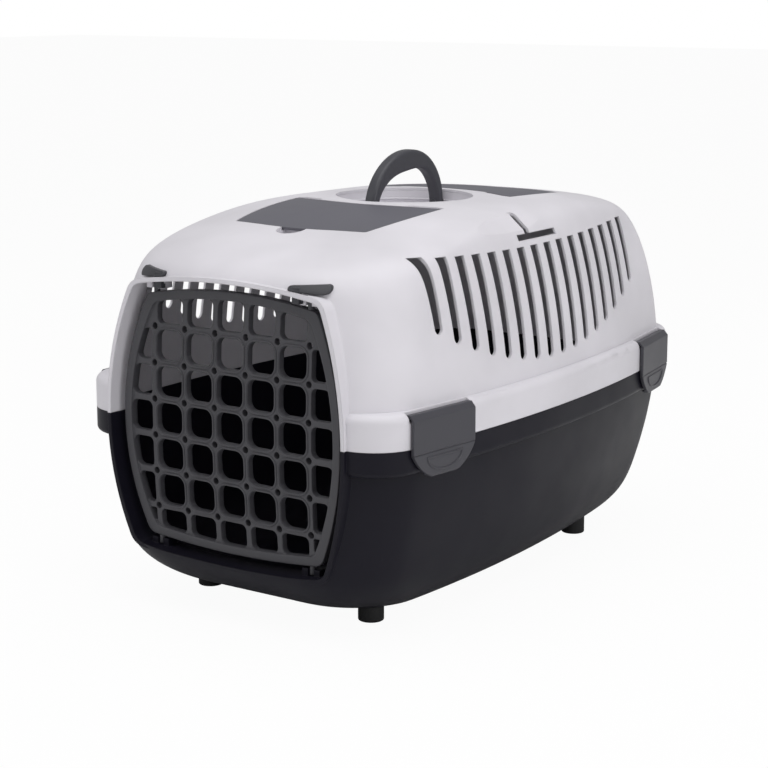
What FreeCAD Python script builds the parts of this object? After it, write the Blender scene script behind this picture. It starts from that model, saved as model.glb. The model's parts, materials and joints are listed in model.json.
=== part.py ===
import FreeCAD
import Part
import Sketcher
import math
import os
from FreeCAD import Placement, Rotation, Vector

# Pet carrier. Millimetres. +Z up, the door faces -Y, the origin is on the ground under the middle.

doc = FreeCAD.newDocument("PetCarrier")
sheet = doc.addObject("Spreadsheet::Sheet", "Sizes")

DRIVING_SIZES = (
    # whole body
    ("parting_height", 189.0),
    ("shell_half_width", 188.2),
    ("widest_y", -79.0),
    ("side_bow_radius", 1600.0),
    ("front_y", -305.0),
    ("rear_y", 301.0),
    ("wall", 3.0),
    ("contact_gap", 0.2),
    # upper shell
    ("crown_height", 384.8),
    ("crown_y", -8.0),
    ("roof_side_radius", 1462.0),
    ("roof_front_radius", 974.0),
    ("roof_rear_radius", 1989.0),
    ("shoulder_sharpness", 4.42),
    ("hood_sharpness", 11.6),
    ("tail_sharpness", 6.07),
    ("upper_side_radius", 528.0),
    ("front_bow_radius", 1400.0),
    ("upper_rear_lean", 0.118),
    # lower shell
    ("floor_height", 10.0),
    ("floor_half_width", 108.0),
    ("floor_front_y", -212.0),
    ("floor_rear_y", 235.0),
    ("lower_side_radius", 410.0),
    ("lower_rear_radius", 909.0),
    ("lower_rear_lean", 0.2),
    ("side_edge_height", 60.0),
    ("chin_height", 75.0),
    ("front_corner", 83.0),
    ("rear_corner", 59.0),
    # rim where the shells meet
    ("rim_out", 8.5),
    ("rim_front_y", -301.0),
    ("rim_rear_y", 305.0),
    ("rim_front_corner", 46.0),
    ("rim_rear_corner", 50.0),
    ("rim_rise", 33.0),
    ("rim_drop", 24.0),
    # doorway and its lip
    ("doorway_half_width", 138.5),
    ("doorway_top_half_width", 110.0),
    ("doorway_bottom_half_width", 113.0),
    ("doorway_top_drop", 58.8),
    ("doorway_bottom", 58.0),
    ("doorway_top_arch", 9.0),
    ("doorway_bottom_arch", 6.0),
    ("doorway_corner", 14.0),
    ("lip_thickness", 4.0),
    ("lip_depth", 24.0),
    # door
    ("door_gap", 9.0),
    ("door_recess", 11.0),
    ("door_thickness", 9.0),
    ("door_frame_width", 8.0),
    ("door_frame_raise", 2.0),
    ("door_bar", 5.6),
    ("door_pitch_x", 37.1),
    ("door_pitch_z", 35.2),
    ("door_cell_corner", 9.0),
    ("door_dot_radius", 3.3),
    ("door_pin_x", 92.0),
    ("door_pin_y", -285.5),
    ("door_pin_radius", 3.0),
    ("pin_seat_half_width", 10.0),
    ("pin_seat_front", 3.5),
    ("pin_seat_height", 6.5),
    ("pin_mouth_clearance", 0.4),
    ("running_clearance", 0.06),
    # side vents
    ("vent_first_y", -202.6),
    ("vent_pitch", 26.0),
    ("vent_top_width", 14.0),
    ("vent_bottom_width", 11.0),
    ("vent_bottom", 236.0),
    ("vent_arch", 47.0),
    ("vent_top_drop", 39.8),
    # belt slots on the shoulders
    ("belt_bar_front_y", -46.0),
    ("belt_bar_length", 76.0),
    ("belt_bar_drop", 34.3),
    ("belt_bar_width", 6.0),
    ("belt_leg_y", -30.0),
    ("belt_leg_width", 9.0),
    ("belt_leg_inset", 52.2),
    ("belt_dish_inset", 38.2),
    ("belt_dish_y", -42.0),
    ("belt_dish_depth", 2.4),
    ("belt_dish_tilt", 40.0),
    ("belt_dish_along", 1250.0),
    ("belt_dish_across", 300.0),
    # handle and its well
    ("well_centre_y", -9.0),
    ("well_half_width", 72.0),
    ("well_half_length", 66.0),
    ("well_depth", 25.8),
    ("handle_pivot_drop", 13.8),
    ("handle_half_span", 57.0),
    ("handle_rise", 44.2),
    ("handle_leg", 10.0),
    ("handle_grip", 21.0),
    ("handle_width", 13.0),
    ("handle_pin_radius", 3.5),
    ("handle_socket_depth", 2.0),
    ("handle_boss_wall", 3.0),
    ("pin_hold_clearance", 0.02),
    # storage bins and their lids
    ("lid_front_half_width", 78.0),
    ("lid_rear_half_width", 89.0),
    ("lid_front_reach", 183.0),
    ("lid_rear_reach", 62.0),
    ("lid_waist", 18.0),
    ("lid_corner", 3.0),
    ("lid_thickness", 2.6),
    ("lid_inset", 0.3),
    ("lid_seat_gap", 0.3),
    ("lid_seat_margin", 8.0),
    ("lid_clearance", 0.8),
    ("lid_swing_room", 5.0),
    ("lid_ledge", 12.0),
    ("lid_pivot_radius", 1.6),
    ("lid_pivot_inset", 2.2),
    ("lid_pivot_depth", 2.6),
    ("bin_depth", 38.8),
    ("finger_scoop_radius", 15.0),
    ("finger_scoop_depth", 7.0),
    # side clips
    ("clip_y", 221.0),
    ("clip_length", 88.0),
    ("clip_gap", 0.6),
    ("clip_thickness", 3.4),
    ("clip_axis_in", 4.9),
    ("clip_axis_rise", 28.0),
    ("clip_knuckle_radius", 3.2),
    ("clip_fold_drop", 5.5),
    ("clip_tab_overrun", 3.0),
    ("clip_pin_radius", 1.5),
    ("clip_pin_grip", 6.0),
    ("clip_hook", 3.0),
    # door latches
    ("latch_length", 38.0),
    ("latch_overhang", 26.0),
    ("latch_height", 9.0),
    ("latch_tail_height", 5.0),
    ("latch_rise", 4.8),
    ("latch_gap", 0.4),
    ("latch_travel", 9.0),
    ("stem_length", 8.0),
    ("stem_depth", 4.3),
    ("stem_pin_gap", 3.0),
    ("stem_clearance", 0.6),
    # feet
    ("foot_x", 100.0),
    ("foot_front_y", -206.0),
    ("foot_rear_y", 175.0),
    ("foot_radius", 12.5),
)
for row, (name, value) in enumerate(DRIVING_SIZES, start=1):
    sheet.set("A%d" % row, name)
    sheet.set("B%d" % row, str(value))
    sheet.setAlias("B%d" % row, name)
doc.recompute()


def size(name):
    return float(sheet.get(name))


PARTING = size("parting_height")
CROWN = size("crown_height")
WALL = size("wall")
WIDEST_Y = size("widest_y")
BOW = size("side_bow_radius")
DOORWAY_TOP = CROWN - size("doorway_top_drop")
WELL_FLOOR = CROWN - size("well_depth")
BIN_FLOOR = CROWN - size("bin_depth")
HANDLE_PIVOT_Z = CROWN - size("handle_pivot_drop")
CLIP_AXIS_Z = PARTING + size("clip_axis_rise")
CLIP_FOLD_Z = PARTING - size("clip_fold_drop")
FAR = 400.0


def add_feature(label, shape):
    """One sub-part whose shape is worked out from the sheet."""
    feature = doc.addObject("Part::Feature", label)
    feature.Label = label
    feature.Shape = shape
    return feature


def box(low, high):
    """Box between two opposite corners."""
    low, high = Vector(*low), Vector(*high)
    span = high - low
    return Part.makeBox(span.x, span.y, span.z, low)


def mirrored_x(shape):
    return shape.mirror(Vector(0, 0, 0), Vector(1, 0, 0))


def moved(shape, x=0.0, y=0.0, z=0.0):
    copy = shape.copy()
    copy.translate(Vector(x, y, z))
    return copy


# Body outlines: at each height a rounded plan outline with bowed sides.


def smooth_min(one, other, sharpness):
    return (one ** -sharpness + other ** -sharpness) ** (-1.0 / sharpness)


def upper_level(z, inset):
    """Half width, front, rear and corner radii of the upper shell at a height."""
    crown = CROWN - inset
    rise = z - PARTING
    share = max(rise, 0.0) / (crown - PARTING)
    fall = math.sqrt(max(crown - z, 1e-4))
    crown_y = size("crown_y")
    side_wall = size("shell_half_width") - inset - rise ** 2 / (2 * size("upper_side_radius"))
    half_width = smooth_min(
        side_wall, math.sqrt(2 * size("roof_side_radius")) * fall, size("shoulder_sharpness"))
    front_wall = crown_y - size("front_y") - inset - rise ** 2 / (2 * size("front_bow_radius"))
    front = crown_y - smooth_min(
        front_wall, math.sqrt(2 * size("roof_front_radius")) * fall, size("hood_sharpness"))
    rear_wall = size("rear_y") - crown_y - inset - size("upper_rear_lean") * rise
    rear = crown_y + smooth_min(
        rear_wall, math.sqrt(2 * size("roof_rear_radius")) * fall, size("tail_sharpness"))
    front_radius = half_width * (0.346 + 0.398 * share)
    rear_radius = half_width * (0.268 + 0.574 * share ** 4)
    return half_width, front, rear, front_radius, rear_radius


def lower_level(z, inset):
    """The same five values for the lower shell, whose wall rolls under into the floor."""
    drop = PARTING - z
    floor_z = size("floor_height") + inset

    def roll(wall_value, floor_value, start, power):
        if z >= start:
            return wall_value
        share = min((start - z) / (start - floor_z), 1.0)
        return floor_value + (wall_value - floor_value) * (1 - share ** 2) ** power

    side_wall = size("shell_half_width") - inset - drop ** 2 / (2 * size("lower_side_radius"))
    half_width = roll(side_wall, size("floor_half_width"), size("side_edge_height"), 0.5)
    front = roll(size("front_y") + inset, size("floor_front_y"), size("chin_height"), 2.0 / 3.0)
    rear_wall = (size("rear_y") - inset - size("lower_rear_lean") * drop
                 - drop ** 2 / (2 * size("lower_rear_radius")))
    rear = roll(rear_wall, size("floor_rear_y"), size("side_edge_height"), 0.5)
    fullness = 0.55 + 0.45 * half_width / size("shell_half_width")
    return half_width, front, rear, size("front_corner") * fullness, size("rear_corner") * fullness


def outline_wire(level, z):
    """Closed outline: straight front and rear, rounded corners, bowed sides."""
    half_width, front, rear, front_radius, rear_radius = level
    bow_centre = half_width - BOW

    def corner(centre_y, radius, end_angle):
        reach = math.sqrt((BOW - radius) ** 2 - (centre_y - WIDEST_Y) ** 2)
        centre = Vector(bow_centre + reach, centre_y, z)
        side_angle = math.atan2(centre_y - WIDEST_Y, reach)
        middle = (side_angle + end_angle) / 2
        angles = (end_angle, middle, side_angle)
        return [centre + Vector(math.cos(a), math.sin(a), 0) * radius for a in angles], side_angle

    front_arc, front_angle = corner(front + front_radius, front_radius, -math.pi / 2)
    rear_arc, rear_angle = corner(rear - rear_radius, rear_radius, math.pi / 2)
    rear_arc = rear_arc[::-1]
    side_angle = (front_angle + rear_angle) / 2
    side = Vector(bow_centre + BOW * math.cos(side_angle), WIDEST_Y + BOW * math.sin(side_angle), z)

    def flip(point):
        return Vector(-point.x, point.y, point.z)

    edges = [Part.LineSegment(flip(front_arc[0]), front_arc[0]).toShape()]
    edges.append(Part.Arc(*front_arc).toShape())
    edges.append(Part.Arc(front_arc[2], side, rear_arc[0]).toShape())
    edges.append(Part.Arc(*rear_arc).toShape())
    edges.append(Part.LineSegment(rear_arc[2], flip(rear_arc[2])).toShape())
    edges.append(Part.Arc(flip(rear_arc[2]), flip(rear_arc[1]), flip(rear_arc[0])).toShape())
    edges.append(Part.Arc(flip(rear_arc[0]), flip(side), flip(front_arc[2])).toShape())
    edges.append(Part.Arc(flip(front_arc[2]), flip(front_arc[1]), flip(front_arc[0])).toShape())
    return Part.Wire(edges)


def half_outline(level, z):
    """Points down the right half of an outline, from the rear middle to the front middle."""
    edges = outline_wire(level, z).Edges
    rear_line = Part.LineSegment(Vector(0, level[2], z), edges[3].lastVertex(True).Point).toShape()
    front_line = Part.LineSegment(edges[1].firstVertex(True).Point, Vector(0, level[1], z)).toShape()
    points = []
    for edge, count in ((rear_line, 4), (edges[3], 6), (edges[2], 9), (edges[1], 6), (front_line, 4)):
        run = edge.discretize(Number=count + 1)
        if (run[0] - (points[-1] if points else Vector(0, level[2], z))).Length > 0.01:
            run.reverse()
        points.extend(run[1:] if points else run)
    return points


def drawn_out(points):
    """Control points whose cubic curve passes close to the given points."""
    result = [points[0]]
    for before, here, after in zip(points, points[1:], points[2:]):
        result.append(here + (here * 2 - before - after) * (1.0 / 6.0))
    result.append(points[-1])
    return result


def clamped(count):
    """Knots and their multiplicities of a cubic that starts and ends at its first and last control points."""
    knots = [float(i) for i in range(count - 2)]
    return knots, [4] + [1] * (count - 4) + [4]


def body_solid(levels):
    """Solid with a smooth side surface along the outlines of its levels, flat at both ends."""
    rows = [drawn_out(half_outline(level, z)) for level, z in levels]
    columns = [drawn_out([row[i] for row in rows]) for i in range(len(rows[0]))]
    along_knots, along_counts = clamped(len(columns))
    up_knots, up_counts = clamped(len(rows))
    faces = []
    for side in (1, -1):
        poles = [[Vector(side * point.x, point.y, point.z) for point in column] for column in columns]
        surface = Part.BSplineSurface()
        surface.buildFromPolesMultsKnots(
            poles, along_counts, up_counts, along_knots, up_knots, False, False, 3, 3)
        faces.append(surface.toShape())
    for end_z in (levels[0][1], levels[-1][1]):
        edges = [e for face in faces for e in face.Edges
                 if abs(e.Vertexes[0].Z - end_z) < 0.01 and abs(e.Vertexes[-1].Z - end_z) < 0.01]
        faces.append(Part.Face(Part.Wire(Part.__sortEdges__(edges))))
    shell = Part.makeShell(faces)
    shell.sewShape()
    solid = Part.Solid(shell)
    if solid.Volume < 0:
        solid.reverse()
    return solid


def upper_body(inset):
    """Solid upper body; the levels close up towards the crown as the roof flattens."""
    steps = 14
    crown = CROWN - inset
    first_fall = math.sqrt(crown - PARTING)
    last_fall = 0.85
    levels = []
    for step in range(steps + 1):
        z = crown - (first_fall + (last_fall - first_fall) * step / steps) ** 2
        levels.append((upper_level(z, inset), z))
    return body_solid(levels)


def lower_body(inset):
    """Solid lower body; levels crowd towards the floor where the wall rolls under."""
    steps = 10
    bottom = size("floor_height") + inset
    levels = []
    for step in range(steps + 1):
        z = PARTING - (PARTING - bottom) * math.sin(math.pi / 2 * step / steps)
        levels.append((lower_level(z, inset), z))
    return body_solid(levels)


UPPER_OUTER = upper_body(0.0)
LOWER_OUTER = lower_body(0.0)


def roof_height(x, y):
    """Height of the outer roof over a point of the plan."""
    post = Part.makeLine(Vector(x, y, PARTING + 1), Vector(x, y, CROWN + 50))
    return UPPER_OUTER.common(post).BoundBox.ZMax


def roof_front(x, z):
    """Place along Y of the front of the hood at a height."""
    post = Part.makeLine(Vector(x, size("front_y") - 50, z), Vector(x, size("crown_y"), z))
    return UPPER_OUTER.common(post).BoundBox.YMin


def rim_wire(z):
    level = (size("shell_half_width") + size("rim_out"), size("rim_front_y"), size("rim_rear_y"),
             size("rim_front_corner"), size("rim_rear_corner"))
    return outline_wire(level, z)


def rim_frame(y, side):
    """Placement on the outer face of the rim: local X points out, local Y runs along the rim."""
    angle = math.asin((y - WIDEST_Y) / BOW)
    half_width = size("shell_half_width") + size("rim_out")
    x = half_width - BOW + BOW * math.cos(angle)
    turn = math.degrees(angle) if side > 0 else 180 - math.degrees(angle)
    return Placement(Vector(side * x, y, 0), Rotation(Vector(0, 0, 1), turn))


CLIP_SITES = {
    "front_left": (-size("clip_y"), -1),
    "front_right": (-size("clip_y"), 1),
    "rear_left": (size("clip_y"), -1),
    "rear_right": (size("clip_y"), 1),
}

# Doorway: its outline seen from the front, the bowed slab it is cut from, and the lip around it.


def front_face(half_mid, half_top, half_bottom, top, bottom, top_arch, bottom_arch, corner):
    """Upright barrel outline with arched top and bottom and rounded corners, in the plane y = 0."""
    middle_z = (top + bottom) / 2
    top_right = Vector(half_top, 0, top - top_arch)
    bottom_right = Vector(half_bottom, 0, bottom + bottom_arch)
    top_left = Vector(-half_top, 0, top - top_arch)
    bottom_left = Vector(-half_bottom, 0, bottom + bottom_arch)
    edges = [
        Part.Arc(top_left, Vector(0, 0, top), top_right).toShape(),
        Part.Arc(top_right, Vector(half_mid, 0, middle_z), bottom_right).toShape(),
        Part.Arc(bottom_right, Vector(0, 0, bottom), bottom_left).toShape(),
        Part.Arc(bottom_left, Vector(-half_mid, 0, middle_z), top_left).toShape(),
    ]
    return rounded(Part.Face(Part.Wire(edges)), corner)


def rounded(face, radius):
    """Round the outward corners of a flat face."""
    return face.makeOffset2D(-radius).makeOffset2D(radius)


def doorway_face(grow, corner):
    return front_face(
        size("doorway_half_width") + grow, size("doorway_top_half_width") + grow,
        size("doorway_bottom_half_width") + grow, DOORWAY_TOP + grow, size("doorway_bottom") - grow,
        size("doorway_top_arch"), size("doorway_bottom_arch"), corner)


def through(face, near=-FAR, far=FAR):
    """Run a flat front outline along Y."""
    return moved(face, y=near).extrude(Vector(0, far - near, 0))


def bowed_slab(offset, depth):
    """Upright slab whose front follows the bow of the lip."""
    reach = 260.0

    def arc(y):
        sag = reach ** 2 / (2 * size("front_bow_radius"))
        low = Vector(-FAR, y + sag, PARTING - reach)
        high = Vector(-FAR, y + sag, PARTING + reach)
        return Part.Arc(low, Vector(-FAR, y, PARTING), high).toShape()

    front = arc(size("front_y") + offset)
    back = arc(size("front_y") + offset + depth)
    ends = [Part.LineSegment(front.Vertexes[i].Point, back.Vertexes[i].Point).toShape() for i in (0, 1)]
    face = Part.Face(Part.Wire(Part.__sortEdges__([front, back] + ends)))
    return face.extrude(Vector(2 * FAR, 0, 0))


DOORWAY = doorway_face(0.0, size("doorway_corner"))
LIP = through(doorway_face(size("lip_thickness"), size("doorway_corner") + size("lip_thickness")))
LIP = LIP.cut(through(DOORWAY)).common(bowed_slab(0.0, size("lip_depth")))
DOORWAY_CUT = through(DOORWAY, far=size("front_y") + 70)
ABOVE = box((-FAR, -FAR, PARTING + size("contact_gap") / 2), (FAR, FAR, FAR + CROWN))
BELOW = box((-FAR, -FAR, -FAR), (FAR, FAR, PARTING - size("contact_gap") / 2))

# Lower shell.


def rim_solid(z, height, edge_radius, upward):
    """Band of the rim with its far edge rounded."""
    band = Part.Face(rim_wire(z)).extrude(Vector(0, 0, height if upward else -height))
    far_z = z + height if upward else z - height
    edges = [e for e in band.Edges if all(abs(v.Z - far_z) < 0.01 for v in e.Vertexes)]
    return band.makeFillet(edge_radius, edges)


def pin_seat(x, low, high):
    """Bracket that takes a door pin, open to the front."""
    pin_y = size("door_pin_y")
    bore = size("door_pin_radius") + size("running_clearance")
    half = size("pin_seat_half_width")
    block = box((x - half, pin_y - size("pin_seat_front"), low), (x + half, pin_y + 10, high))
    mouth = bore + size("pin_mouth_clearance")
    slot = box((x - mouth, pin_y - 20, low - 1), (x + mouth, pin_y, high + 1))
    seat = Part.makeCylinder(bore, high - low + 2, Vector(x, pin_y, low - 1))
    return block.cut(slot.fuse(seat))


PIN_X = size("door_pin_x")
lower_rise = size("doorway_bottom_arch") * (PIN_X / size("doorway_bottom_half_width")) ** 2
upper_drop = size("doorway_top_arch") * (PIN_X / size("doorway_top_half_width")) ** 2
lower_lip_z = size("doorway_bottom") + lower_rise
upper_lip_z = DOORWAY_TOP - upper_drop
SEAT_HEIGHT = size("pin_seat_height")
LATCH_Z = upper_lip_z + size("lip_thickness") + size("latch_gap") + size("latch_height") / 2

lower = LOWER_OUTER.fuse(rim_solid(PARTING, size("rim_drop"), 5.0, False))
lower = lower.cut(lower_body(WALL))
lower = lower.cut(DOORWAY_CUT).fuse(LIP)
for side in (-1, 1):
    lower = lower.fuse(pin_seat(side * PIN_X, lower_lip_z - 2, lower_lip_z + SEAT_HEIGHT))
lower = lower.common(BELOW).removeSplitter()
add_feature("bottom_shell", lower)

# Upper shell.


def lid_face(grow):
    """Plan of the front lid at height zero: narrower at the front, waisted at the rear."""
    centre_y = size("well_centre_y")
    front_y = centre_y - size("lid_front_reach")
    rear_y = centre_y - size("lid_rear_reach")
    front_x = size("lid_front_half_width")
    rear_x = size("lid_rear_half_width")
    front_right = Vector(front_x, front_y + 8, 0)
    front_left = Vector(-front_x, front_y + 8, 0)
    rear_right = Vector(rear_x, rear_y, 0)
    rear_left = Vector(-rear_x, rear_y, 0)
    middle_x = (front_x + rear_x) / 2 + 3
    middle_y = (front_y + rear_y) / 2
    edges = [
        Part.Arc(front_left, Vector(0, front_y, 0), front_right).toShape(),
        Part.Arc(front_right, Vector(middle_x, middle_y, 0), rear_right).toShape(),
        Part.Arc(rear_right, Vector(0, rear_y - size("lid_waist"), 0), rear_left).toShape(),
        Part.Arc(rear_left, Vector(-middle_x, middle_y, 0), front_left).toShape(),
    ]
    face = rounded(Part.Face(Part.Wire(edges)), size("lid_corner"))
    return face if grow == 0 else face.makeOffset2D(grow)


def upright(face, low, high):
    """Run a plan outline upwards between two heights."""
    return moved(face, z=low).extrude(Vector(0, 0, high - low))


def mirrored_to_rear(shape):
    return shape.mirror(Vector(0, size("well_centre_y"), 0), Vector(0, 1, 0))


def lid_pivot_y(mirror):
    y = size("well_centre_y") - size("lid_rear_reach") - size("lid_pivot_inset")
    return 2 * size("well_centre_y") - y if mirror else y


def lid_pivot_z(mirror):
    return roof_height(size("lid_rear_half_width") - 3, lid_pivot_y(mirror)) - size("lid_pivot_depth")


def lid_pivots(mirror, radius, reach):
    """Round stubs at the two rear corners of a lid, on one line across the roof."""
    y, z = lid_pivot_y(mirror), lid_pivot_z(mirror)
    inner = size("lid_rear_half_width") - 9
    outer = size("lid_rear_half_width") + reach
    stub = Part.makeCylinder(radius, outer - inner, Vector(inner, y, z), Vector(1, 0, 0))
    return stub.fuse(mirrored_x(stub))


def well_face(grow):
    centre = Vector(0, size("well_centre_y"), 0)
    ring = Part.Ellipse(centre, size("well_half_width") + grow, size("well_half_length") + grow)
    return Part.Face(Part.Wire(ring.toShape()))


# solid parts left standing inside the hollow, and what is then cut from the whole
recess_depth = size("lid_inset") + size("lid_thickness") + size("lid_seat_gap")
under_seat = moved(UPPER_OUTER, z=-recess_depth - WALL)
seat = upright(lid_face(size("lid_seat_margin")), BIN_FLOOR, CROWN + 11)
kept = [seat.cut(under_seat), mirrored_to_rear(seat).cut(under_seat)]
well_space = upright(well_face(0.0), WELL_FLOOR, CROWN + 14)
cutters = [DOORWAY_CUT, well_space]

recess = upright(lid_face(size("lid_clearance")), BIN_FLOOR + 4, CROWN + 11)
recess_limit = moved(UPPER_OUTER, z=-recess_depth)
pocket = upright(lid_face(-size("lid_ledge")), BIN_FLOOR, CROWN + 10)
# more room behind the rear corners of a lid, where its edge swings back as it opens
corner_inner = 0.6 * size("lid_rear_half_width")
corner_outer = size("lid_rear_half_width") + size("lid_clearance")
corner_rear = lid_pivot_y(False) + size("lid_pivot_inset") + 2 * size("lid_clearance")
corner_room = box((corner_inner, corner_rear - 14, 0), (corner_outer, corner_rear, CROWN + 11))
swing_room = upright(lid_face(size("lid_swing_room")), BIN_FLOOR + 4, CROWN + 11)
recess = recess.fuse(swing_room.common(corner_room.fuse(mirrored_x(corner_room))))
for mirror in (False, True):
    here_recess = mirrored_to_rear(recess) if mirror else recess
    here_pocket = mirrored_to_rear(pocket) if mirror else pocket
    cutters.append(here_recess.cut(recess_limit))
    cutters.append(here_pocket)
    cutters.append(lid_pivots(mirror, size("lid_pivot_radius") + size("running_clearance"), 4.5))

# vent slots: square at the top, round at the bottom, longest in the middle


def vent_face(step):
    count = 16
    y = size("vent_first_y") + step * size("vent_pitch")
    share = ((step - (count - 1) / 2) / ((count - 1) / 2)) ** 2
    low = size("vent_bottom") + size("vent_arch") * share
    high = CROWN - size("vent_top_drop") + 6.0 * share
    top_half = size("vent_top_width") / 2
    bottom_half = size("vent_bottom_width") / 2
    corners = [Vector(0, y - bottom_half, low + bottom_half), Vector(0, y - top_half, high),
               Vector(0, y + top_half, high), Vector(0, y + bottom_half, low + bottom_half)]
    edges = [Part.LineSegment(corners[i], corners[i + 1]).toShape() for i in range(3)]
    edges.append(Part.Arc(corners[3], Vector(0, y, low), corners[0]).toShape())
    return Part.Face(Part.Wire(edges))


vents = [moved(vent_face(step), x=100).extrude(Vector(150, 0, 0)) for step in range(16)]
bar_low = CROWN - size("belt_bar_drop")
bar_high = bar_low + size("belt_bar_width")
belt_bar = box((125, size("belt_bar_front_y"), bar_low),
               (250, size("belt_bar_front_y") + size("belt_bar_length"), bar_high))
belt_leg = box((size("shell_half_width") - size("belt_leg_inset"), size("belt_leg_y"), bar_low + 1),
               (250, size("belt_leg_y") + size("belt_leg_width"), CROWN))
for cutter in vents + [belt_bar.fuse(belt_leg)]:
    cutters.extend((cutter, mirrored_x(cutter)))

# finger scoop at the free edge of each lid
scoop_bosses = []
for mirror in (False, True):
    scoop_y = size("well_centre_y") - size("lid_front_reach") - 3
    scoop_y = 2 * size("well_centre_y") - scoop_y if mirror else scoop_y
    scoop_z = roof_height(0, scoop_y) - size("finger_scoop_depth")
    under_lid = upright(lid_face(-4.0), 0, CROWN + 10)
    scoop = Part.makeCylinder(size("finger_scoop_radius"), 60, Vector(0, scoop_y, scoop_z))
    boss = Part.makeCylinder(size("finger_scoop_radius") + WALL, 60, Vector(0, scoop_y, scoop_z - WALL))
    kept.append(boss)
    scoop_bosses.append(boss)
    cutters.append(scoop.cut(mirrored_to_rear(under_lid) if mirror else under_lid))

# clip notches and pin holes along the rim
for y, side in CLIP_SITES.values():
    half = size("clip_length") / 2 + size("clip_gap")
    axis_x = -size("clip_axis_in")
    axis_z = CLIP_AXIS_Z
    floor = axis_z - size("clip_knuckle_radius") - size("clip_gap")
    notch = box((-size("rim_out") + 0.2, -half, floor), (10, half, floor + 30))
    hole_half = half + size("clip_pin_grip")
    hole_radius = size("clip_pin_radius") + size("pin_hold_clearance")
    hole = Part.makeCylinder(hole_radius, 2 * hole_half, Vector(axis_x, -hole_half, axis_z), Vector(0, 1, 0))
    cutter = notch.fuse(hole)
    cutter.Placement = rim_frame(y, side)
    cutters.append(cutter)

# slots in the lip for the latch stems
around = size("stem_clearance")
stem_outer = PIN_X - size("door_pin_radius") - size("stem_pin_gap")
stem_inner = stem_outer - size("stem_length")
nose_back = size("door_pin_y") - size("pin_seat_front") - around
stem_back = roof_front(stem_inner, LATCH_Z) - size("latch_gap")
stem_front = stem_back - size("stem_depth")
slot = box((stem_inner - around, stem_front - around, upper_lip_z - 12),
           (stem_outer + size("latch_travel") + around, stem_back + around / 2, LATCH_Z + 4))
cutters.extend((slot, mirrored_x(slot)))

# sockets that the handle pins stand in
pin_radius = size("handle_pin_radius")


def across_well(radius, past_wall):
    """Round bar along Y through the handle's axis, as long as the well and a little more."""
    half = size("well_half_length") + past_wall
    start = Vector(0, size("well_centre_y") - half, HANDLE_PIVOT_Z)
    return Part.makeCylinder(radius, 2 * half, start, Vector(0, 1, 0))


boss_wall = size("handle_boss_wall")
socket_boss = across_well(pin_radius + boss_wall, size("handle_socket_depth") + boss_wall)
sockets = across_well(pin_radius + size("pin_hold_clearance"), size("handle_socket_depth"))

# shallow dish round each belt slot, with the wall carried on behind it
dish_tilt = math.radians(size("belt_dish_tilt"))
dish_out = Vector(math.sin(dish_tilt), 0, math.cos(dish_tilt))
dish_x = size("shell_half_width") - size("belt_dish_inset")
dish_y = size("belt_dish_y")
dish_spot = Vector(dish_x, dish_y, roof_height(dish_x, dish_y))
DISH_REACH = 60.0


def belt_dish(depth):
    """Ellipsoid that dips into the right shoulder, its curves set by the two radii of the dish."""
    stretch = FreeCAD.Matrix()
    across = math.sqrt(size("belt_dish_across") * DISH_REACH)
    along = math.sqrt(size("belt_dish_along") * DISH_REACH)
    stretch.scale(across, along, DISH_REACH)
    shape = Part.makeSphere(1.0).transformGeometry(stretch)
    centre = dish_spot + dish_out * (DISH_REACH - depth)
    shape.Placement = Placement(centre, Rotation(Vector(0, 1, 0), size("belt_dish_tilt")))
    return shape


dish = belt_dish(size("belt_dish_depth"))
behind_dish = belt_dish(size("belt_dish_depth") + WALL)
kept.extend((behind_dish, mirrored_x(behind_dish)))
cutters.extend((dish, mirrored_x(dish)))

upper = UPPER_OUTER.fuse(rim_solid(PARTING, size("rim_rise"), size("rim_out") - 0.3, True))
inside = upper_body(WALL)
hollow = inside
for solid in kept:
    hollow = hollow.cut(solid)
upper = upper.cut(hollow)
upper = upper.fuse(LIP)
upper = upper.cut(cutters)
upper = upper.common(ABOVE)
add_feature("top_shell", upper)

# Handle well and bin trays: cups that hang under the openings of the roof.
well = upright(well_face(WALL), WELL_FLOOR - WALL, CROWN + 12).fuse(socket_boss)
well = well.cut(well_space).cut(sockets).common(inside)
add_feature("handle_well", well.removeSplitter())
tray = upright(lid_face(WALL - size("lid_ledge")), BIN_FLOOR - WALL, CROWN + 10).cut(pocket)
for mirror, label in ((False, "front_bin_tray"), (True, "rear_bin_tray")):
    here_tray = mirrored_to_rear(tray) if mirror else tray
    here_tray = here_tray.common(under_seat)
    for boss in scoop_bosses:
        here_tray = here_tray.cut(boss)
    add_feature(label, here_tray.removeSplitter())

# Keepers: brackets under the hood that take the upper door pins.
for side, word in ((-1, "left"), (1, "right")):
    keeper = pin_seat(side * PIN_X, upper_lip_z - SEAT_HEIGHT, upper_lip_z + 8).cut(LIP)
    solids = sorted(keeper.Solids, key=lambda solid: solid.CenterOfMass.z)
    add_feature("latch_keeper_" + word, solids[0])

# Door: a bowed slab, barrel shaped in front view, pierced by a grid of rounded cells.
door_gap = size("door_gap")
door_outline = doorway_face(-door_gap, size("doorway_corner") - 2)
door_inner = doorway_face(-door_gap - size("door_frame_width"), size("doorway_corner") - 4)
door_frame = through(door_outline).cut(through(door_inner))
door_frame = door_frame.common(bowed_slab(size("door_recess"), size("door_thickness")))

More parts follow.
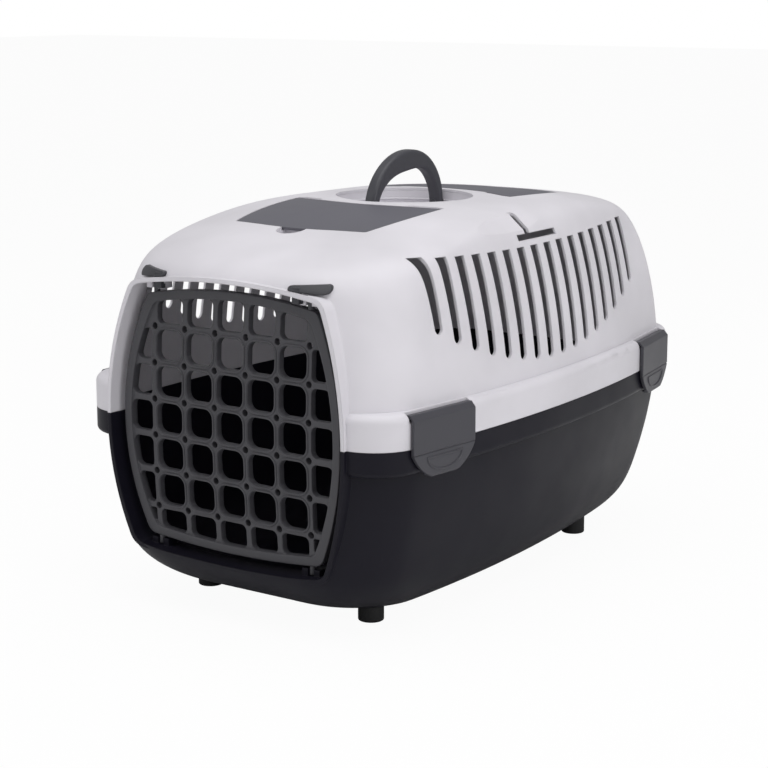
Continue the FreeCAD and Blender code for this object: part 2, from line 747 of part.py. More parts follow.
cells = []
for column in range(7):
    for row in range(7):
        x = (column - 3) * size("door_pitch_x")
        z = PARTING + (row - 3) * size("door_pitch_z")
        half_x = (size("door_pitch_x") - size("door_bar")) / 2
        half_z = (size("door_pitch_z") - size("door_bar")) / 2
        corners = [Vector(x - half_x, 0, z - half_z), Vector(x + half_x, 0, z - half_z),
                   Vector(x + half_x, 0, z + half_z), Vector(x - half_x, 0, z + half_z)]
        whole = Part.Face(Part.makePolygon(corners + corners[:1]))
        cell = whole.common(door_inner)
        if cell.Area < 0.08 * whole.Area:
            continue
        trimmed = cell.Area < 0.999 * whole.Area
        radius = 0.9 * cell.Area / cell.Length if trimmed else size("door_cell_corner")
        cells.append(rounded(cell.Faces[0], min(radius, size("door_cell_corner"))))
bars = door_inner
for cell in cells:
    bars = bars.cut(cell)
raised = size("door_frame_raise")
bars = through(bars).common(bowed_slab(size("door_recess") + raised, size("door_thickness") - raised))
dots = []
for column in range(6):
    for row in range(6):
        x = (column - 2.5) * size("door_pitch_x")
        z = PARTING + (row - 2.5) * size("door_pitch_z")
        start = Vector(x, size("front_y"), z)
        dots.append(Part.makeCylinder(size("door_dot_radius"), 60, start, Vector(0, 1, 0)))
door = door_frame.fuse(bars).cut(Part.makeCompound(dots))
door = door.removeSplitter()
add_feature("door_grille", door)
pin_low = lower_lip_z + 1.0
pin_high = upper_lip_z - 1.0
stubs = []
for x in (-PIN_X, PIN_X):
    for low, high in ((pin_low, pin_low + 14), (pin_high - 14, pin_high)):
        pin = Part.makeCylinder(size("door_pin_radius"), high - low, Vector(x, size("door_pin_y"), low))
        outer_z = pin_low if low == pin_low else pin_high
        stubs.append(sorted(pin.cut(door).Solids, key=lambda solid: abs(solid.CenterOfMass.z - outer_z))[0])
add_feature("door_pins", Part.makeCompound(stubs))

# Lids: plates that follow the roof, with pivot stubs at the rear corners.
inset = size("lid_inset")
plate = moved(UPPER_OUTER, z=-inset).cut(moved(UPPER_OUTER, z=-inset - size("lid_thickness")))
lid_prism = upright(lid_face(0.0), BIN_FLOOR, CROWN + 10)
for mirror, label in ((False, "front_lid"), (True, "rear_lid")):
    prism = mirrored_to_rear(lid_prism) if mirror else lid_prism
    back_y = lid_pivot_y(mirror)
    behind = box((-FAR, back_y - FAR, 0), (FAR, back_y, FAR + CROWN)) if mirror else box(
        (-FAR, back_y, 0), (FAR, back_y + FAR, FAR + CROWN))
    lid = plate.common(prism).cut(behind)
    lid = lid.fuse(lid_pivots(mirror, size("lid_pivot_radius"), 3.5))
    add_feature(label, lid.removeSplitter())

# Handle: an arch that stands in the well, deeper at the grip.
pivot_z = HANDLE_PIVOT_Z
span = size("handle_half_span")
leg = size("handle_leg")
top = CROWN + size("handle_rise")


def handle_arch(half, height, low, dips=(0.0, 0.0)):
    """Arch outline in the YZ plane, from the front leg over the top to the rear leg."""
    centre = size("well_centre_y")
    rise = height - pivot_z
    foot = (low - pivot_z) / rise
    places = ((-1.0, foot), (-0.89, 0.45), (-0.45, 0.87 - dips[0]), (0.03, 1.0), (0.55, 0.88 + dips[1]),
              (0.93, 0.45), (1.0, foot))
    points = [Vector(0, centre + half * y, pivot_z + rise * share) for y, share in places]
    curve = Part.BSplineCurve()
    curve.interpolate(points)
    return curve.toShape()


leg_low = pivot_z - 7
outer_arch = handle_arch(span + leg / 2, top, leg_low)
inner_arch = handle_arch(span - leg / 2, top - size("handle_grip"), leg_low, dips=(0.0, 0.1))
ends = []
for i in (0, 1):
    ends.append(Part.LineSegment(outer_arch.Vertexes[i].Point, inner_arch.Vertexes[i].Point).toShape())
arch_face = Part.Face(Part.Wire(Part.__sortEdges__([outer_arch, inner_arch] + ends)))
handle = moved(arch_face, x=-size("handle_width") / 2).extrude(Vector(size("handle_width"), 0, 0))
long_edges = [e for e in handle.Edges if e.BoundBox.ZLength > 20]
handle = handle.makeFillet(3.5, long_edges)
bore = Part.makeCylinder(pin_radius + size("running_clearance"), 4 * span,
                         Vector(0, size("well_centre_y") - 2 * span, pivot_z), Vector(0, 1, 0))
handle = handle.cut(bore)
add_feature("handle", handle)

for side, word in ((-1, "front"), (1, "rear")):
    pin = doc.addObject("Part::Cylinder", "handle_pin_" + word)
    pin.Label = "handle_pin_" + word
    pin.setExpression("Radius", "Sizes.handle_pin_radius")
    socket_end = "Sizes.well_half_length + Sizes.handle_socket_depth"
    leg_inside = "(Sizes.handle_half_span - Sizes.handle_leg / 2)"
    pin.setExpression("Height", socket_end + " - " + leg_inside)
    start = socket_end if side < 0 else "-" + leg_inside
    pin.Placement = Placement(Vector(0, 0, 0), Rotation(Vector(1, 0, 0), -90))
    pin.setExpression("Placement.Base.y", "Sizes.well_centre_y - (" + start + ")")
    pin.setExpression("Placement.Base.z", "Sizes.crown_height - Sizes.handle_pivot_drop")

# Side clips: a plate that turns on a pin in the rim and hooks under the lower rim.


def origin_plane(body, role):
    return [item for item in body.Origin.OriginFeatures if item.Role == role][0]


def new_sketch(body, role, name):
    sketch = body.newObject("Sketcher::SketchObject", name)
    sketch.AttachmentSupport = [(origin_plane(body, role), "")]
    sketch.MapMode = "FlatFace"
    return sketch


def polygon_sketch(body, role, name, corners):
    """Closed outline whose every corner is set by two expressions on the sheet."""
    sketch = new_sketch(body, role, name)
    points = [Vector(sheet.evalExpression(x), sheet.evalExpression(y), 0) for x, y in corners]
    count = len(points)
    for i in range(count):
        sketch.addGeometry(Part.LineSegment(points[i], points[(i + 1) % count]), False)
    for i in range(count):
        sketch.addConstraint(Sketcher.Constraint("Coincident", i, 2, (i + 1) % count, 1))
    for i, (x, y) in enumerate(corners):
        across = sketch.addConstraint(Sketcher.Constraint("DistanceX", i, 1, points[i].x))
        sketch.setExpression("Constraints[%d]" % across, x)
        along = sketch.addConstraint(Sketcher.Constraint("DistanceY", i, 1, points[i].y))
        sketch.setExpression("Constraints[%d]" % along, y)
    return sketch


def circle_sketch(body, role, name, x, y, radius):
    sketch = new_sketch(body, role, name)
    values = [sheet.evalExpression(text) for text in (x, y, radius)]
    sketch.addGeometry(Part.Circle(Vector(values[0], values[1], 0), Vector(0, 0, 1), values[2]), False)
    for kind, text, value in (("DistanceX", x, values[0]), ("DistanceY", y, values[1])):
        index = sketch.addConstraint(Sketcher.Constraint(kind, 0, 3, value))
        sketch.setExpression("Constraints[%d]" % index, text)
    index = sketch.addConstraint(Sketcher.Constraint("Radius", 0, values[2]))
    sketch.setExpression("Constraints[%d]" % index, radius)
    return sketch


def pad_both_ways(body, sketch, name, length):
    pad = body.newObject("PartDesign::Pad", name)
    pad.Profile = sketch
    pad.Midplane = True
    pad.setExpression("Length", length)
    return pad


def cut_through(body, sketch, name):
    pocket = body.newObject("PartDesign::Pocket", name)
    pocket.Profile = sketch
    pocket.Midplane = True
    pocket.Type = 1
    return pocket


def tab_corner_sketch(body, name):
    """The two lower corners that are cut off a clip to leave its tab round."""
    half = size("clip_length") / 2
    fold = CLIP_FOLD_Z
    low = sheet.evalExpression(HOOK_LOW) - size("clip_tab_overrun")
    depth = fold - low
    radius = (half ** 2 + depth ** 2) / (2 * depth)
    centre_z = low + radius
    edge_z = low + size("clip_tab_overrun") - 1
    edge_y = math.sqrt(radius ** 2 - (centre_z - edge_z) ** 2)
    sketch = new_sketch(body, "YZ_Plane", name)
    for side in (-1, 1):
        inner = Vector(side * edge_y, edge_z, 0)
        outer = Vector(side * half, fold, 0)
        middle_angle = (math.atan2(edge_y, centre_z - edge_z) + math.atan2(half, centre_z - fold)) / 2
        middle = Vector(side * radius * math.sin(middle_angle), centre_z - radius * math.cos(middle_angle), 0)
        beyond = [Vector(side * (half + 1), fold, 0), Vector(side * (half + 1), edge_z, 0)]
        sketch.addGeometry(Part.Arc(inner, middle, outer), False)
        run = [outer] + beyond + [inner]
        for start, end in zip(run, run[1:]):
            sketch.addGeometry(Part.LineSegment(start, end), False)
    return sketch


CLIP_OUTER = "Sizes.clip_gap + Sizes.clip_thickness"
HOOK_TOP = "Sizes.parting_height - Sizes.rim_drop - 1.2"
HOOK_LOW = "Sizes.parting_height - Sizes.rim_drop - 4.6"
AXIS_X = "-Sizes.clip_axis_in"
AXIS_Z = "Sizes.parting_height + Sizes.clip_axis_rise"
FOLD_Z = "Sizes.parting_height - Sizes.clip_fold_drop"
KNUCKLE_TOP = AXIS_Z + " + Sizes.clip_knuckle_radius"
CLIP_PROFILE = (
    ("-Sizes.clip_hook", HOOK_TOP),
    ("Sizes.clip_gap", HOOK_TOP),
    ("Sizes.clip_gap", AXIS_Z),
    (AXIS_X, AXIS_Z),
    (AXIS_X, KNUCKLE_TOP),
    ("-Sizes.clip_gap", KNUCKLE_TOP),
    (CLIP_OUTER, AXIS_Z + " - 2"),
    (CLIP_OUTER, FOLD_Z + " + 0.7"),
    (CLIP_OUTER + " - 0.9", FOLD_Z),
    (CLIP_OUTER, FOLD_Z + " - 0.7"),
    (CLIP_OUTER, HOOK_LOW + " + 1.5"),
    (CLIP_OUTER + " - 1.5", HOOK_LOW),
    ("-Sizes.clip_hook", HOOK_LOW),
)
for site, (y, side) in CLIP_SITES.items():
    body = doc.addObject("PartDesign::Body", "clip_" + site)
    body.Label = "clip_" + site
    profile = polygon_sketch(body, "XZ_Plane", "Profile_" + site, CLIP_PROFILE)
    plate_pad = pad_both_ways(body, profile, "Plate_" + site, "Sizes.clip_length")
    ring = circle_sketch(body, "XZ_Plane", "Ring_" + site, AXIS_X, AXIS_Z, "Sizes.clip_knuckle_radius")
    pad_both_ways(body, ring, "Knuckle_" + site, "Sizes.clip_length")
    bore_radius = "Sizes.clip_pin_radius + Sizes.running_clearance"
    bore = circle_sketch(body, "XZ_Plane", "Bore_" + site, AXIS_X, AXIS_Z, bore_radius)
    cut_through(body, bore, "PinBore_" + site)
    body.Tip = cut_through(body, tab_corner_sketch(body, "Corners_" + site), "RoundTab_" + site)
    body.Placement = rim_frame(y, side)

    pin = doc.addObject("Part::Cylinder", "clip_pin_" + site)
    pin.Label = "clip_pin_" + site
    pin.setExpression("Radius", "Sizes.clip_pin_radius")
    pin.setExpression("Height", "Sizes.clip_length + 2 * Sizes.clip_gap + 2 * Sizes.clip_pin_grip")
    half = size("clip_length") / 2 + size("clip_gap") + size("clip_pin_grip")
    start = Vector(-size("clip_axis_in"), -half, CLIP_AXIS_Z)
    local = Placement(start, Rotation(Vector(1, 0, 0), -90))
    pin.Placement = rim_frame(y, side).multiply(local)

# Door latches: a thumb button on the hood and a stem through the lip whose nose stands before the door pin.


def latch_shape():
    """The latch of the right-hand side."""
    outer = stem_outer + size("latch_overhang")
    inner = outer - size("latch_length")
    head, tail = size("latch_height") / 2, size("latch_tail_height") / 2
    head_x, tail_x = outer - head, inner + tail
    edges = [
        Part.LineSegment(Vector(tail_x, 0, LATCH_Z + tail), Vector(head_x, 0, LATCH_Z + head)).toShape(),
        Part.Arc(Vector(head_x, 0, LATCH_Z + head), Vector(outer, 0, LATCH_Z),
                 Vector(head_x, 0, LATCH_Z - head)).toShape(),
        Part.LineSegment(Vector(head_x, 0, LATCH_Z - head), Vector(tail_x, 0, LATCH_Z - tail)).toShape(),
        Part.Arc(Vector(tail_x, 0, LATCH_Z - tail), Vector(inner, 0, LATCH_Z),
                 Vector(tail_x, 0, LATCH_Z + tail)).toShape(),
    ]
    gap = size("latch_gap")
    button = through(Part.Face(Part.Wire(edges)), far=size("crown_y") - 100)
    button = button.common(moved(UPPER_OUTER, y=-size("latch_rise"))).cut(moved(UPPER_OUTER, y=-gap))
    collar = size("lip_thickness") + gap
    button = button.cut(through(doorway_face(collar, size("doorway_corner") + collar)))
    button = sorted(button.Solids, key=lambda solid: solid.Volume)[-1]
    low = upper_lip_z - SEAT_HEIGHT + 1.5
    stem = box((stem_inner, stem_front, low), (stem_outer, stem_back, LATCH_Z + 1))
    nose = box((stem_inner, stem_front, low), (stem_outer, nose_back, upper_lip_z - 1.0))
    return button.fuse(stem).fuse(nose).removeSplitter()


right_latch = latch_shape()
add_feature("door_latch_right", right_latch)
add_feature("door_latch_left", mirrored_x(right_latch))

# Feet: round pads under the floor.
for word_y, y_name in (("front", "foot_front_y"), ("rear", "foot_rear_y")):
    for side, word_x in ((-1, "left"), (1, "right")):
        spot = Vector(side * size("foot_x"), size(y_name), 0)
        pad = Part.makeCylinder(size("foot_radius"), size("floor_height") + 12, spot)
        foot = pad.cut(LOWER_OUTER)
        foot = sorted(foot.Solids, key=lambda solid: solid.CenterOfMass.z)[0]
        bottom_edges = [e for e in foot.Edges if e.BoundBox.ZMax < 0.01]
        add_feature("foot_%s_%s" % (word_y, word_x), foot.makeFillet(1.5, bottom_edges))

doc.recompute()

PART_KINDS = ("Part::Feature", "Part::Cylinder", "PartDesign::Body")
parts = [item for item in doc.Objects if item.TypeId in PART_KINDS]
for item in doc.Objects:
    if "Invalid" in item.State or "Error" in item.State:
        raise RuntimeError("object %s is not sound: %s" % (item.Label, item.State))
os.makedirs("parts", exist_ok=True)
for item in parts:
    shape = item.Shape
    if shape.isNull() or not shape.isValid():
        raise RuntimeError("shape of %s is not valid" % item.Label)
    shape.exportStep("parts/%s.step" % item.Label)
    print(item.Label, len(shape.Solids), round(shape.Volume / 1000, 2), [round(v, 1) for v in (
        shape.BoundBox.XMin, shape.BoundBox.YMin, shape.BoundBox.ZMin,
        shape.BoundBox.XMax, shape.BoundBox.YMax, shape.BoundBox.ZMax)])
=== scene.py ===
import json
import math

import bpy
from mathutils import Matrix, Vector


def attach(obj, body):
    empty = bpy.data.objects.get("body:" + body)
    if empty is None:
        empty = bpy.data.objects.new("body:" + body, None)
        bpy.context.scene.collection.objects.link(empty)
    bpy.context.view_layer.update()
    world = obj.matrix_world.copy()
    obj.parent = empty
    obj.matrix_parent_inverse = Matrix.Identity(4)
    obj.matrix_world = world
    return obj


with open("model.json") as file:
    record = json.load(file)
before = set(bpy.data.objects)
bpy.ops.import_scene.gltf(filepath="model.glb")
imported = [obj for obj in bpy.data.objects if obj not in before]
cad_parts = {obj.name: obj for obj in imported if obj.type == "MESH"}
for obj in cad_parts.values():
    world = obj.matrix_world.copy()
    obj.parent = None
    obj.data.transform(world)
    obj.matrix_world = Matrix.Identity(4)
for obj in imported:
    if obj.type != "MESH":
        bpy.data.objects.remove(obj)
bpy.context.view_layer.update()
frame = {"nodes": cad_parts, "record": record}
nodes = frame["nodes"]

# Materials: moulded plastic with a fine grain, cloudy gloss, faint scuffs and worn edges.

CLOUD_SCALE = 9.0
CLOUD_DETAIL = 3.0
CLOUD_SPAN = (0.35, 0.65)
CLOUD_SHADE = 0.9
GLOSS_SPAN = (0.3, 0.7)
GLOSS_SMOOTHER = 0.06
GLOSS_ROUGHER = 0.08
SCRATCH_STRETCH = (40.0, 260.0, 90.0)
SCRATCH_TURN = (0.3, 0.5, 0.7)
SCRATCH_SCALE = 1.0
SCRATCH_DETAIL = 4.0
SCRATCH_ROUGHNESS = 0.65
SCRATCH_SPAN = (0.66, 0.74)
WEAR_SCALE = 60.0
WEAR_DETAIL = 3.0
WEAR_SPAN = (0.35, 0.65)
EDGE_SPAN = (0.995, 0.8)
EDGE_WIDTH = 2.0
EDGE_SAMPLES = 4
GRAIN_DETAIL = 2.0
GRAIN_ROUGHNESS = 0.6
GRAIN_STRENGTH = 0.5


def link(tree, source, target):
    tree.links.new(source, target)


def noise(tree, place, scale, detail, roughness=0.5):
    node = tree.nodes.new("ShaderNodeTexNoise")
    node.inputs["Scale"].default_value = scale
    node.inputs["Detail"].default_value = detail
    node.inputs["Roughness"].default_value = roughness
    link(tree, place, node.inputs["Vector"])
    return node.outputs["Fac"]


def span(tree, value, limits, to_low=0.0, to_high=1.0):
    """Map a value from one span to another, held at the ends."""
    node = tree.nodes.new("ShaderNodeMapRange")
    node.inputs["From Min"].default_value = limits[0]
    node.inputs["From Max"].default_value = limits[1]
    node.inputs["To Min"].default_value = to_low
    node.inputs["To Max"].default_value = to_high
    link(tree, value, node.inputs["Value"])
    return node.outputs["Result"]


def blended(tree, share, one, other):
    """Colour between two colours, each a socket or a plain colour."""
    node = tree.nodes.new("ShaderNodeMix")
    node.data_type = "RGBA"
    link(tree, share, node.inputs["Factor"])
    for name, value in (("A", one), ("B", other)):
        socket = [s for s in node.inputs if s.name == name and s.type == "RGBA"][0]
        if isinstance(value, tuple):
            socket.default_value = value + (1.0,)
        else:
            link(tree, value, socket)
    return [s for s in node.outputs if s.type == "RGBA"][0]


def edge_mask(tree, radius):
    """Bright along convex and concave edges: where the rounded normal leaves the true one."""
    bevel = tree.nodes.new("ShaderNodeBevel")
    bevel.samples = EDGE_SAMPLES
    bevel.inputs["Radius"].default_value = radius
    geometry = tree.nodes.new("ShaderNodeNewGeometry")
    dot = tree.nodes.new("ShaderNodeVectorMath")
    dot.operation = "DOT_PRODUCT"
    link(tree, bevel.outputs["Normal"], dot.inputs[0])
    link(tree, geometry.outputs["Normal"], dot.inputs[1])
    return span(tree, dot.outputs["Value"], EDGE_SPAN), bevel.outputs["Normal"]


def finish(name, colour, worn, roughness, grain=1400.0, depth=0.00006, wear=0.35,
           scuffs=0.1, bevel=0.0008, sheen=0.4, metal=0.0):
    """Moulded surface: grain in the bump, cloudy gloss, paler worn edges, faint scuffs."""
    material = bpy.data.materials.new(name)
    material.use_nodes = True
    tree = material.node_tree
    shader = tree.nodes["Principled BSDF"]
    shader.inputs["Specular IOR Level"].default_value = sheen
    shader.inputs["Metallic"].default_value = metal
    place = tree.nodes.new("ShaderNodeTexCoord").outputs["Object"]

    clouds = noise(tree, place, CLOUD_SCALE, CLOUD_DETAIL)
    shade = tuple(channel * CLOUD_SHADE for channel in colour)
    base = blended(tree, span(tree, clouds, CLOUD_SPAN), shade, colour)
    gloss = span(tree, clouds, GLOSS_SPAN, roughness - GLOSS_SMOOTHER, roughness + GLOSS_ROUGHER)
    link(tree, gloss, shader.inputs["Roughness"])

    stretch = tree.nodes.new("ShaderNodeMapping")
    stretch.inputs["Scale"].default_value = SCRATCH_STRETCH
    stretch.inputs["Rotation"].default_value = SCRATCH_TURN
    link(tree, place, stretch.inputs["Vector"])
    stretched = stretch.outputs["Vector"]
    scratches = noise(tree, stretched, SCRATCH_SCALE, SCRATCH_DETAIL, SCRATCH_ROUGHNESS)
    base = blended(tree, span(tree, scratches, SCRATCH_SPAN, 0.0, scuffs), base, worn)

    edges, soft_normal = edge_mask(tree, bevel * EDGE_WIDTH)
    patches = noise(tree, place, WEAR_SCALE, WEAR_DETAIL)
    patchy_edges = tree.nodes.new("ShaderNodeMath")
    patchy_edges.operation = "MULTIPLY"
    link(tree, edges, patchy_edges.inputs[0])
    link(tree, span(tree, patches, WEAR_SPAN, 0.0, wear), patchy_edges.inputs[1])
    base = blended(tree, patchy_edges.outputs["Value"], base, worn)
    link(tree, base, shader.inputs["Base Color"])

    bump = tree.nodes.new("ShaderNodeBump")
    bump.inputs["Strength"].default_value = GRAIN_STRENGTH
    bump.inputs["Distance"].default_value = depth
    fine = noise(tree, place, grain, GRAIN_DETAIL, GRAIN_ROUGHNESS)
    link(tree, fine, bump.inputs["Height"])
    link(tree, soft_normal, bump.inputs["Normal"])
    link(tree, bump.outputs["Normal"], shader.inputs["Normal"])
    return material


FINISHES = {
    "upper_plastic": {
        "colour": (0.72, 0.70, 0.745), "worn": (0.80, 0.79, 0.80), "roughness": 0.42,
        "scuffs": 0.06,
    },
    "lower_plastic": {
        "colour": (0.0076, 0.0069, 0.0128), "worn": (0.045, 0.044, 0.054), "roughness": 0.44,
        "wear": 0.25, "sheen": 0.16,
    },
    "door_plastic": {
        "colour": (0.060, 0.059, 0.067), "worn": (0.15, 0.15, 0.17), "roughness": 0.42,
        "bevel": 0.0011,
    },
    "clip_plastic": {
        "colour": (0.052, 0.051, 0.062), "worn": (0.13, 0.13, 0.15), "roughness": 0.40,
    },
    "latch_plastic": {
        "colour": (0.045, 0.045, 0.052), "worn": (0.14, 0.14, 0.16), "roughness": 0.40,
    },
    "lid_plastic": {
        "colour": (0.112, 0.110, 0.132), "worn": (0.24, 0.24, 0.26), "roughness": 0.45,
    },
    "handle_plastic": {
        "colour": (0.050, 0.050, 0.060), "worn": (0.15, 0.15, 0.16), "roughness": 0.38,
    },
    "foot_rubber": {
        "colour": (0.014, 0.014, 0.015), "worn": (0.05, 0.05, 0.05), "roughness": 0.7,
        "grain": 900.0, "depth": 0.00012,
    },
    "pin_steel": {
        "colour": (0.55, 0.55, 0.57), "worn": (0.7, 0.7, 0.7), "roughness": 0.3,
        "metal": 1.0,
    },
}
SLOTS = {name: finish(name, **values) for name, values in FINISHES.items()}
for entry in frame["record"]["subparts"]:
    mesh = nodes[entry["node"]].data
    mesh.materials.clear()
    mesh.materials.append(SLOTS[entry["material_slot"]])

# Raised details that follow the solids: ridges round the door cells, finger rings on the clips,
# a ledge in the handle well and washers at the handle's pivots. Sizes in millimetres.

PER_METRE = 1000.0
BEAD_SIDES = 8


def bead_piece(name, loops, radius):
    """One piece of round beads, each along a closed flat loop of points."""
    vertices = []
    faces = []
    for loop in loops:
        points = [Vector(point) for point in loop]
        count = len(points)
        first = len(vertices)
        middle = sum(points, Vector()) / count
        facing = Vector()
        for here, after in zip(points, points[1:] + points[:1]):
            facing += (here - middle).cross(after - middle)
        facing.normalize()
        for i, here in enumerate(points):
            along = (points[(i + 1) % count] - points[i - 1]).normalized()
            across = along.cross(facing).normalized()
            for j in range(BEAD_SIDES):
                turn = 2.0 * math.pi * j / BEAD_SIDES
                place = here + (across * math.cos(turn) + facing * math.sin(turn)) * radius
                vertices.append(place / PER_METRE)
        for i in range(count):
            ring = first + i * BEAD_SIDES
            next_ring = first + (i + 1) % count * BEAD_SIDES
            for j in range(BEAD_SIDES):
                k = (j + 1) % BEAD_SIDES
                faces.append((ring + j, ring + k, next_ring + k, next_ring + j))
    mesh = bpy.data.meshes.new(name)
    mesh.from_pydata(vertices, [], faces)
    mesh.validate()
    for polygon in mesh.polygons:
        polygon.use_smooth = True
    piece = bpy.data.objects.new(name, mesh)
    bpy.context.scene.collection.objects.link(piece)
    return piece


def dress(piece, body, slot_name):
    piece.data.materials.append(SLOTS[slot_name])
    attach(piece, body)


def oval_loop(centre, one_axis, other_axis, steps):
    """Points round a centre, from two half axes."""
    loop = []
    for step in range(steps):
        turn = 2.0 * math.pi * step / steps
        point = []
        for middle, one, other in zip(centre, one_axis, other_axis):
            point.append(middle + one * math.cos(turn) + other * math.sin(turn))
        loop.append(point)
    return loop


DOOR_PITCH = (37.1, 35.2)
DOOR_MIDDLE_Z = 189.0
DOOR_BOW_RADIUS = 1400.0
DOOR_INNER_HALF = 121.5
DOOR_INNER_END = 94.0
DOOR_INNER_REACH = 126.0
DOOR_RIDGED_SHARE = 0.93
CELLS_EACH_WAY = 3
RIDGE_HALF = (17.1, 16.2)
RIDGE_CORNER = 10.4
RIDGE_CORNER_STEPS = 5
RIDGE_BEAD = 1.1
BAR_FRONT_Y = -292.0


def inside_door(x, z):
    share = abs(z - DOOR_MIDDLE_Z) / DOOR_INNER_REACH
    half_width = DOOR_INNER_HALF - (DOOR_INNER_HALF - DOOR_INNER_END) * share ** 2
    return share < DOOR_RIDGED_SHARE and abs(x) < half_width


def cell_loop(centre_x, centre_z):
    """Rounded square round one door cell, on the bowed face of the bars."""
    loop = []
    for quarter in range(4):
        side_x = 1.0 if quarter in (0, 3) else -1.0
        side_z = 1.0 if quarter in (0, 1) else -1.0
        corner_x = centre_x + side_x * (RIDGE_HALF[0] - RIDGE_CORNER)
        corner_z = centre_z + side_z * (RIDGE_HALF[1] - RIDGE_CORNER)
        for step in range(RIDGE_CORNER_STEPS + 1):
            turn = math.pi / 2.0 * (quarter + step / RIDGE_CORNER_STEPS)
            x = corner_x + RIDGE_CORNER * math.cos(turn)
            z = corner_z + RIDGE_CORNER * math.sin(turn)
            y = BAR_FRONT_Y + (z - DOOR_MIDDLE_Z) ** 2 / (2.0 * DOOR_BOW_RADIUS)
            loop.append((x, y, z))
    return loop


ridges = []
for column in range(-CELLS_EACH_WAY, CELLS_EACH_WAY + 1):
    for row in range(-CELLS_EACH_WAY, CELLS_EACH_WAY + 1):
        x = column * DOOR_PITCH[0]
        z = DOOR_MIDDLE_Z + row * DOOR_PITCH[1]
        far_x = abs(x) + RIDGE_HALF[0]
        far_z = DOOR_MIDDLE_Z + abs(z - DOOR_MIDDLE_Z) + RIDGE_HALF[1]
        if inside_door(far_x, far_z):
            ridges.append(cell_loop(x, z))
dress(bead_piece("door_cell_ridges", ridges, RIDGE_BEAD), "door", "door_plastic")

CLIP_Y = 221.0
CLIP_FACE_OUT = 3.9
RIM_HALF_WIDTH = 196.7
WIDEST_Y = -79.0
SIDE_BOW = 1600.0
RING_TOP_Z = 179.0
RING_DEPTH = 13.0
RING_HALF = 25.0
RING_TOP_STEPS = 12
RING_ARC_STEPS = 16
RING_BEAD = 1.1


def ring_loop(face, along):
    """Straight top edge, and an arc that hangs below it."""
    loop = []
    for step in range(RING_TOP_STEPS):
        loop.append(face + along * (RING_HALF * (2.0 * step / RING_TOP_STEPS - 1.0)))
    for step in range(RING_ARC_STEPS):
        turn = math.pi * step / RING_ARC_STEPS
        drop = Vector((0.0, 0.0, -RING_DEPTH * math.sin(turn)))
        loop.append(face + along * (RING_HALF * math.cos(turn)) + drop)
    return loop


for word_y, y in (("front", -CLIP_Y), ("rear", CLIP_Y)):
    for word_x, side in (("left", -1.0), ("right", 1.0)):
        angle = math.asin((y - WIDEST_Y) / SIDE_BOW)
        rim_x = side * (RIM_HALF_WIDTH - SIDE_BOW * (1.0 - math.cos(angle)))
        out = Vector((side * math.cos(angle), math.sin(angle), 0.0))
        along = Vector((-side * math.sin(angle), math.cos(angle), 0.0))
        face = Vector((rim_x, y, RING_TOP_Z)) + out * CLIP_FACE_OUT
        ring = bead_piece("clip_ring_%s_%s" % (word_y, word_x), [ring_loop(face, along)], RING_BEAD)
        dress(ring, "clip_%s_%s_body" % (word_y, word_x), "clip_plastic")

WELL_Y = -9.0
WELL_HALF = (71.6, 65.6)
LEDGE_Z = 372.0
LEDGE_STEPS = 72
LEDGE_BEAD = 1.0
ledge = oval_loop((0.0, WELL_Y, LEDGE_Z), (WELL_HALF[0], 0.0, 0.0), (0.0, WELL_HALF[1], 0.0), LEDGE_STEPS)
dress(bead_piece("well_ledge", [ledge], LEDGE_BEAD), "carrier", "upper_plastic")

PIVOT_Z = 371.0
LEG_OUTSIDE = 62.9
WASHER_RADIUS = 5.0
WASHER_STEPS = 24
WASHER_BEAD = 1.0
washers = []
for side in (-1.0, 1.0):
    centre = (0.0, WELL_Y + side * LEG_OUTSIDE, PIVOT_Z)
    washers.append(oval_loop(centre, (WASHER_RADIUS, 0.0, 0.0), (0.0, 0.0, WASHER_RADIUS), WASHER_STEPS))
dress(bead_piece("handle_washers", washers, WASHER_BEAD), "handle_body", "handle_plastic")

# Stage: pale floor, soft studio light, and the camera of the photograph. Sizes in metres.

FLOOR_SIZE = 30.0
FLOOR_DROP = 0.0003
FLOOR_COLOUR = (0.9, 0.9, 0.9, 1.0)
FLOOR_ROUGHNESS = 0.9
FLOOR_GLOW_SHARE = 0.95
WORLD_COLOUR = (1.0, 1.0, 1.0, 1.0)
WORLD_ON_OBJECT = 0.4
WORLD_TO_CAMERA = 1.0


def stage_material():
    """Pale floor that shows as white to the camera and still takes a soft shadow."""
    material = bpy.data.materials.new("stage_white")
    material.use_nodes = True
    tree = material.node_tree
    shader = tree.nodes["Principled BSDF"]
    shader.inputs["Base Color"].default_value = FLOOR_COLOUR
    shader.inputs["Roughness"].default_value = FLOOR_ROUGHNESS
    glow = tree.nodes.new("ShaderNodeEmission")
    path = tree.nodes.new("ShaderNodeLightPath")
    mix = tree.nodes.new("ShaderNodeMixShader")
    share = tree.nodes.new("ShaderNodeMath")
    share.operation = "MULTIPLY"
    share.inputs[1].default_value = FLOOR_GLOW_SHARE
    link(tree, path.outputs["Is Camera Ray"], share.inputs[0])
    link(tree, share.outputs["Value"], mix.inputs["Fac"])
    link(tree, shader.outputs["BSDF"], mix.inputs[1])
    link(tree, glow.outputs["Emission"], mix.inputs[2])
    link(tree, mix.outputs["Shader"], tree.nodes["Material Output"].inputs["Surface"])
    return material


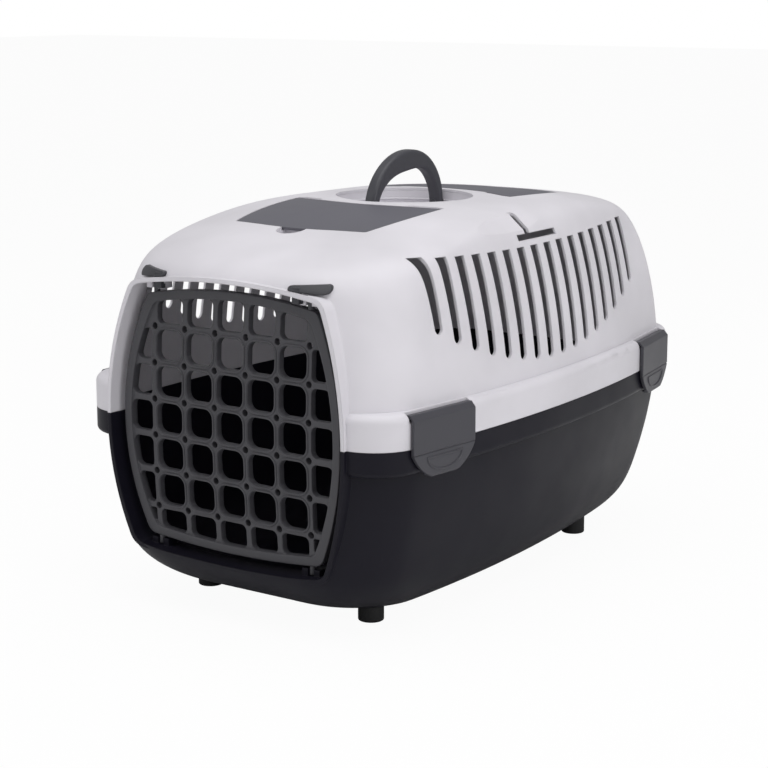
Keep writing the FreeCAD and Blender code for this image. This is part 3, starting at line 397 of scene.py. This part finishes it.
def studio_world():
    """White to the camera, and a weaker even light on the object."""
    world = bpy.data.worlds.new("studio")
    world.use_nodes = True
    tree = world.node_tree
    background = tree.nodes["Background"]
    background.inputs["Color"].default_value = WORLD_COLOUR
    path = tree.nodes.new("ShaderNodeLightPath")
    strength = tree.nodes.new("ShaderNodeMapRange")
    strength.inputs["To Min"].default_value = WORLD_ON_OBJECT
    strength.inputs["To Max"].default_value = WORLD_TO_CAMERA
    link(tree, path.outputs["Is Camera Ray"], strength.inputs["Value"])
    link(tree, strength.outputs["Result"], background.inputs["Strength"])
    return world


def lamp(name, place, target, power, width, height):
    data = bpy.data.lights.new(name, "AREA")
    data.shape = "RECTANGLE"
    data.size = width
    data.size_y = height
    data.energy = power
    piece = bpy.data.objects.new(name, data)
    scene.collection.objects.link(piece)
    piece.location = place
    piece.rotation_euler = (Vector(target) - Vector(place)).to_track_quat("-Z", "Y").to_euler()


bpy.ops.mesh.primitive_plane_add(size=FLOOR_SIZE, location=(0.0, 0.0, -FLOOR_DROP))
floor = bpy.context.object
floor.name = "floor"
floor.data.materials.append(stage_material())

scene = bpy.context.scene
scene.view_settings.view_transform = "Standard"
scene.world = studio_world()
lamp("top_soft", place=(0.2, -0.4, 2.2), target=(0.0, 0.0, 0.2), power=32.0, width=2.4, height=2.4)
lamp("front_left_soft", place=(-1.6, -2.0, 1.3), target=(0.0, -0.1, 0.2), power=5.5, width=1.4, height=1.4)
lamp("right_soft", place=(2.3, -0.4, 1.0), target=(0.0, 0.0, 0.2), power=13.5, width=1.6, height=1.4)

CAMERA_PLACE = (1.165555, -1.674922, 0.597553)
CAMERA_LOOKS_DOWN = 11.469
CAMERA_TURN = 35.566
CAMERA_LENS_MM = 93.05
CAMERA_SENSOR_MM = 36.0
camera_data = bpy.data.cameras.new("camera")
camera_data.sensor_width = CAMERA_SENSOR_MM
camera_data.lens = CAMERA_LENS_MM
camera = bpy.data.objects.new("camera", camera_data)
scene.collection.objects.link(camera)
camera.location = CAMERA_PLACE
camera.rotation_euler = (math.radians(90.0 - CAMERA_LOOKS_DOWN), 0.0, math.radians(CAMERA_TURN))
scene.camera = camera
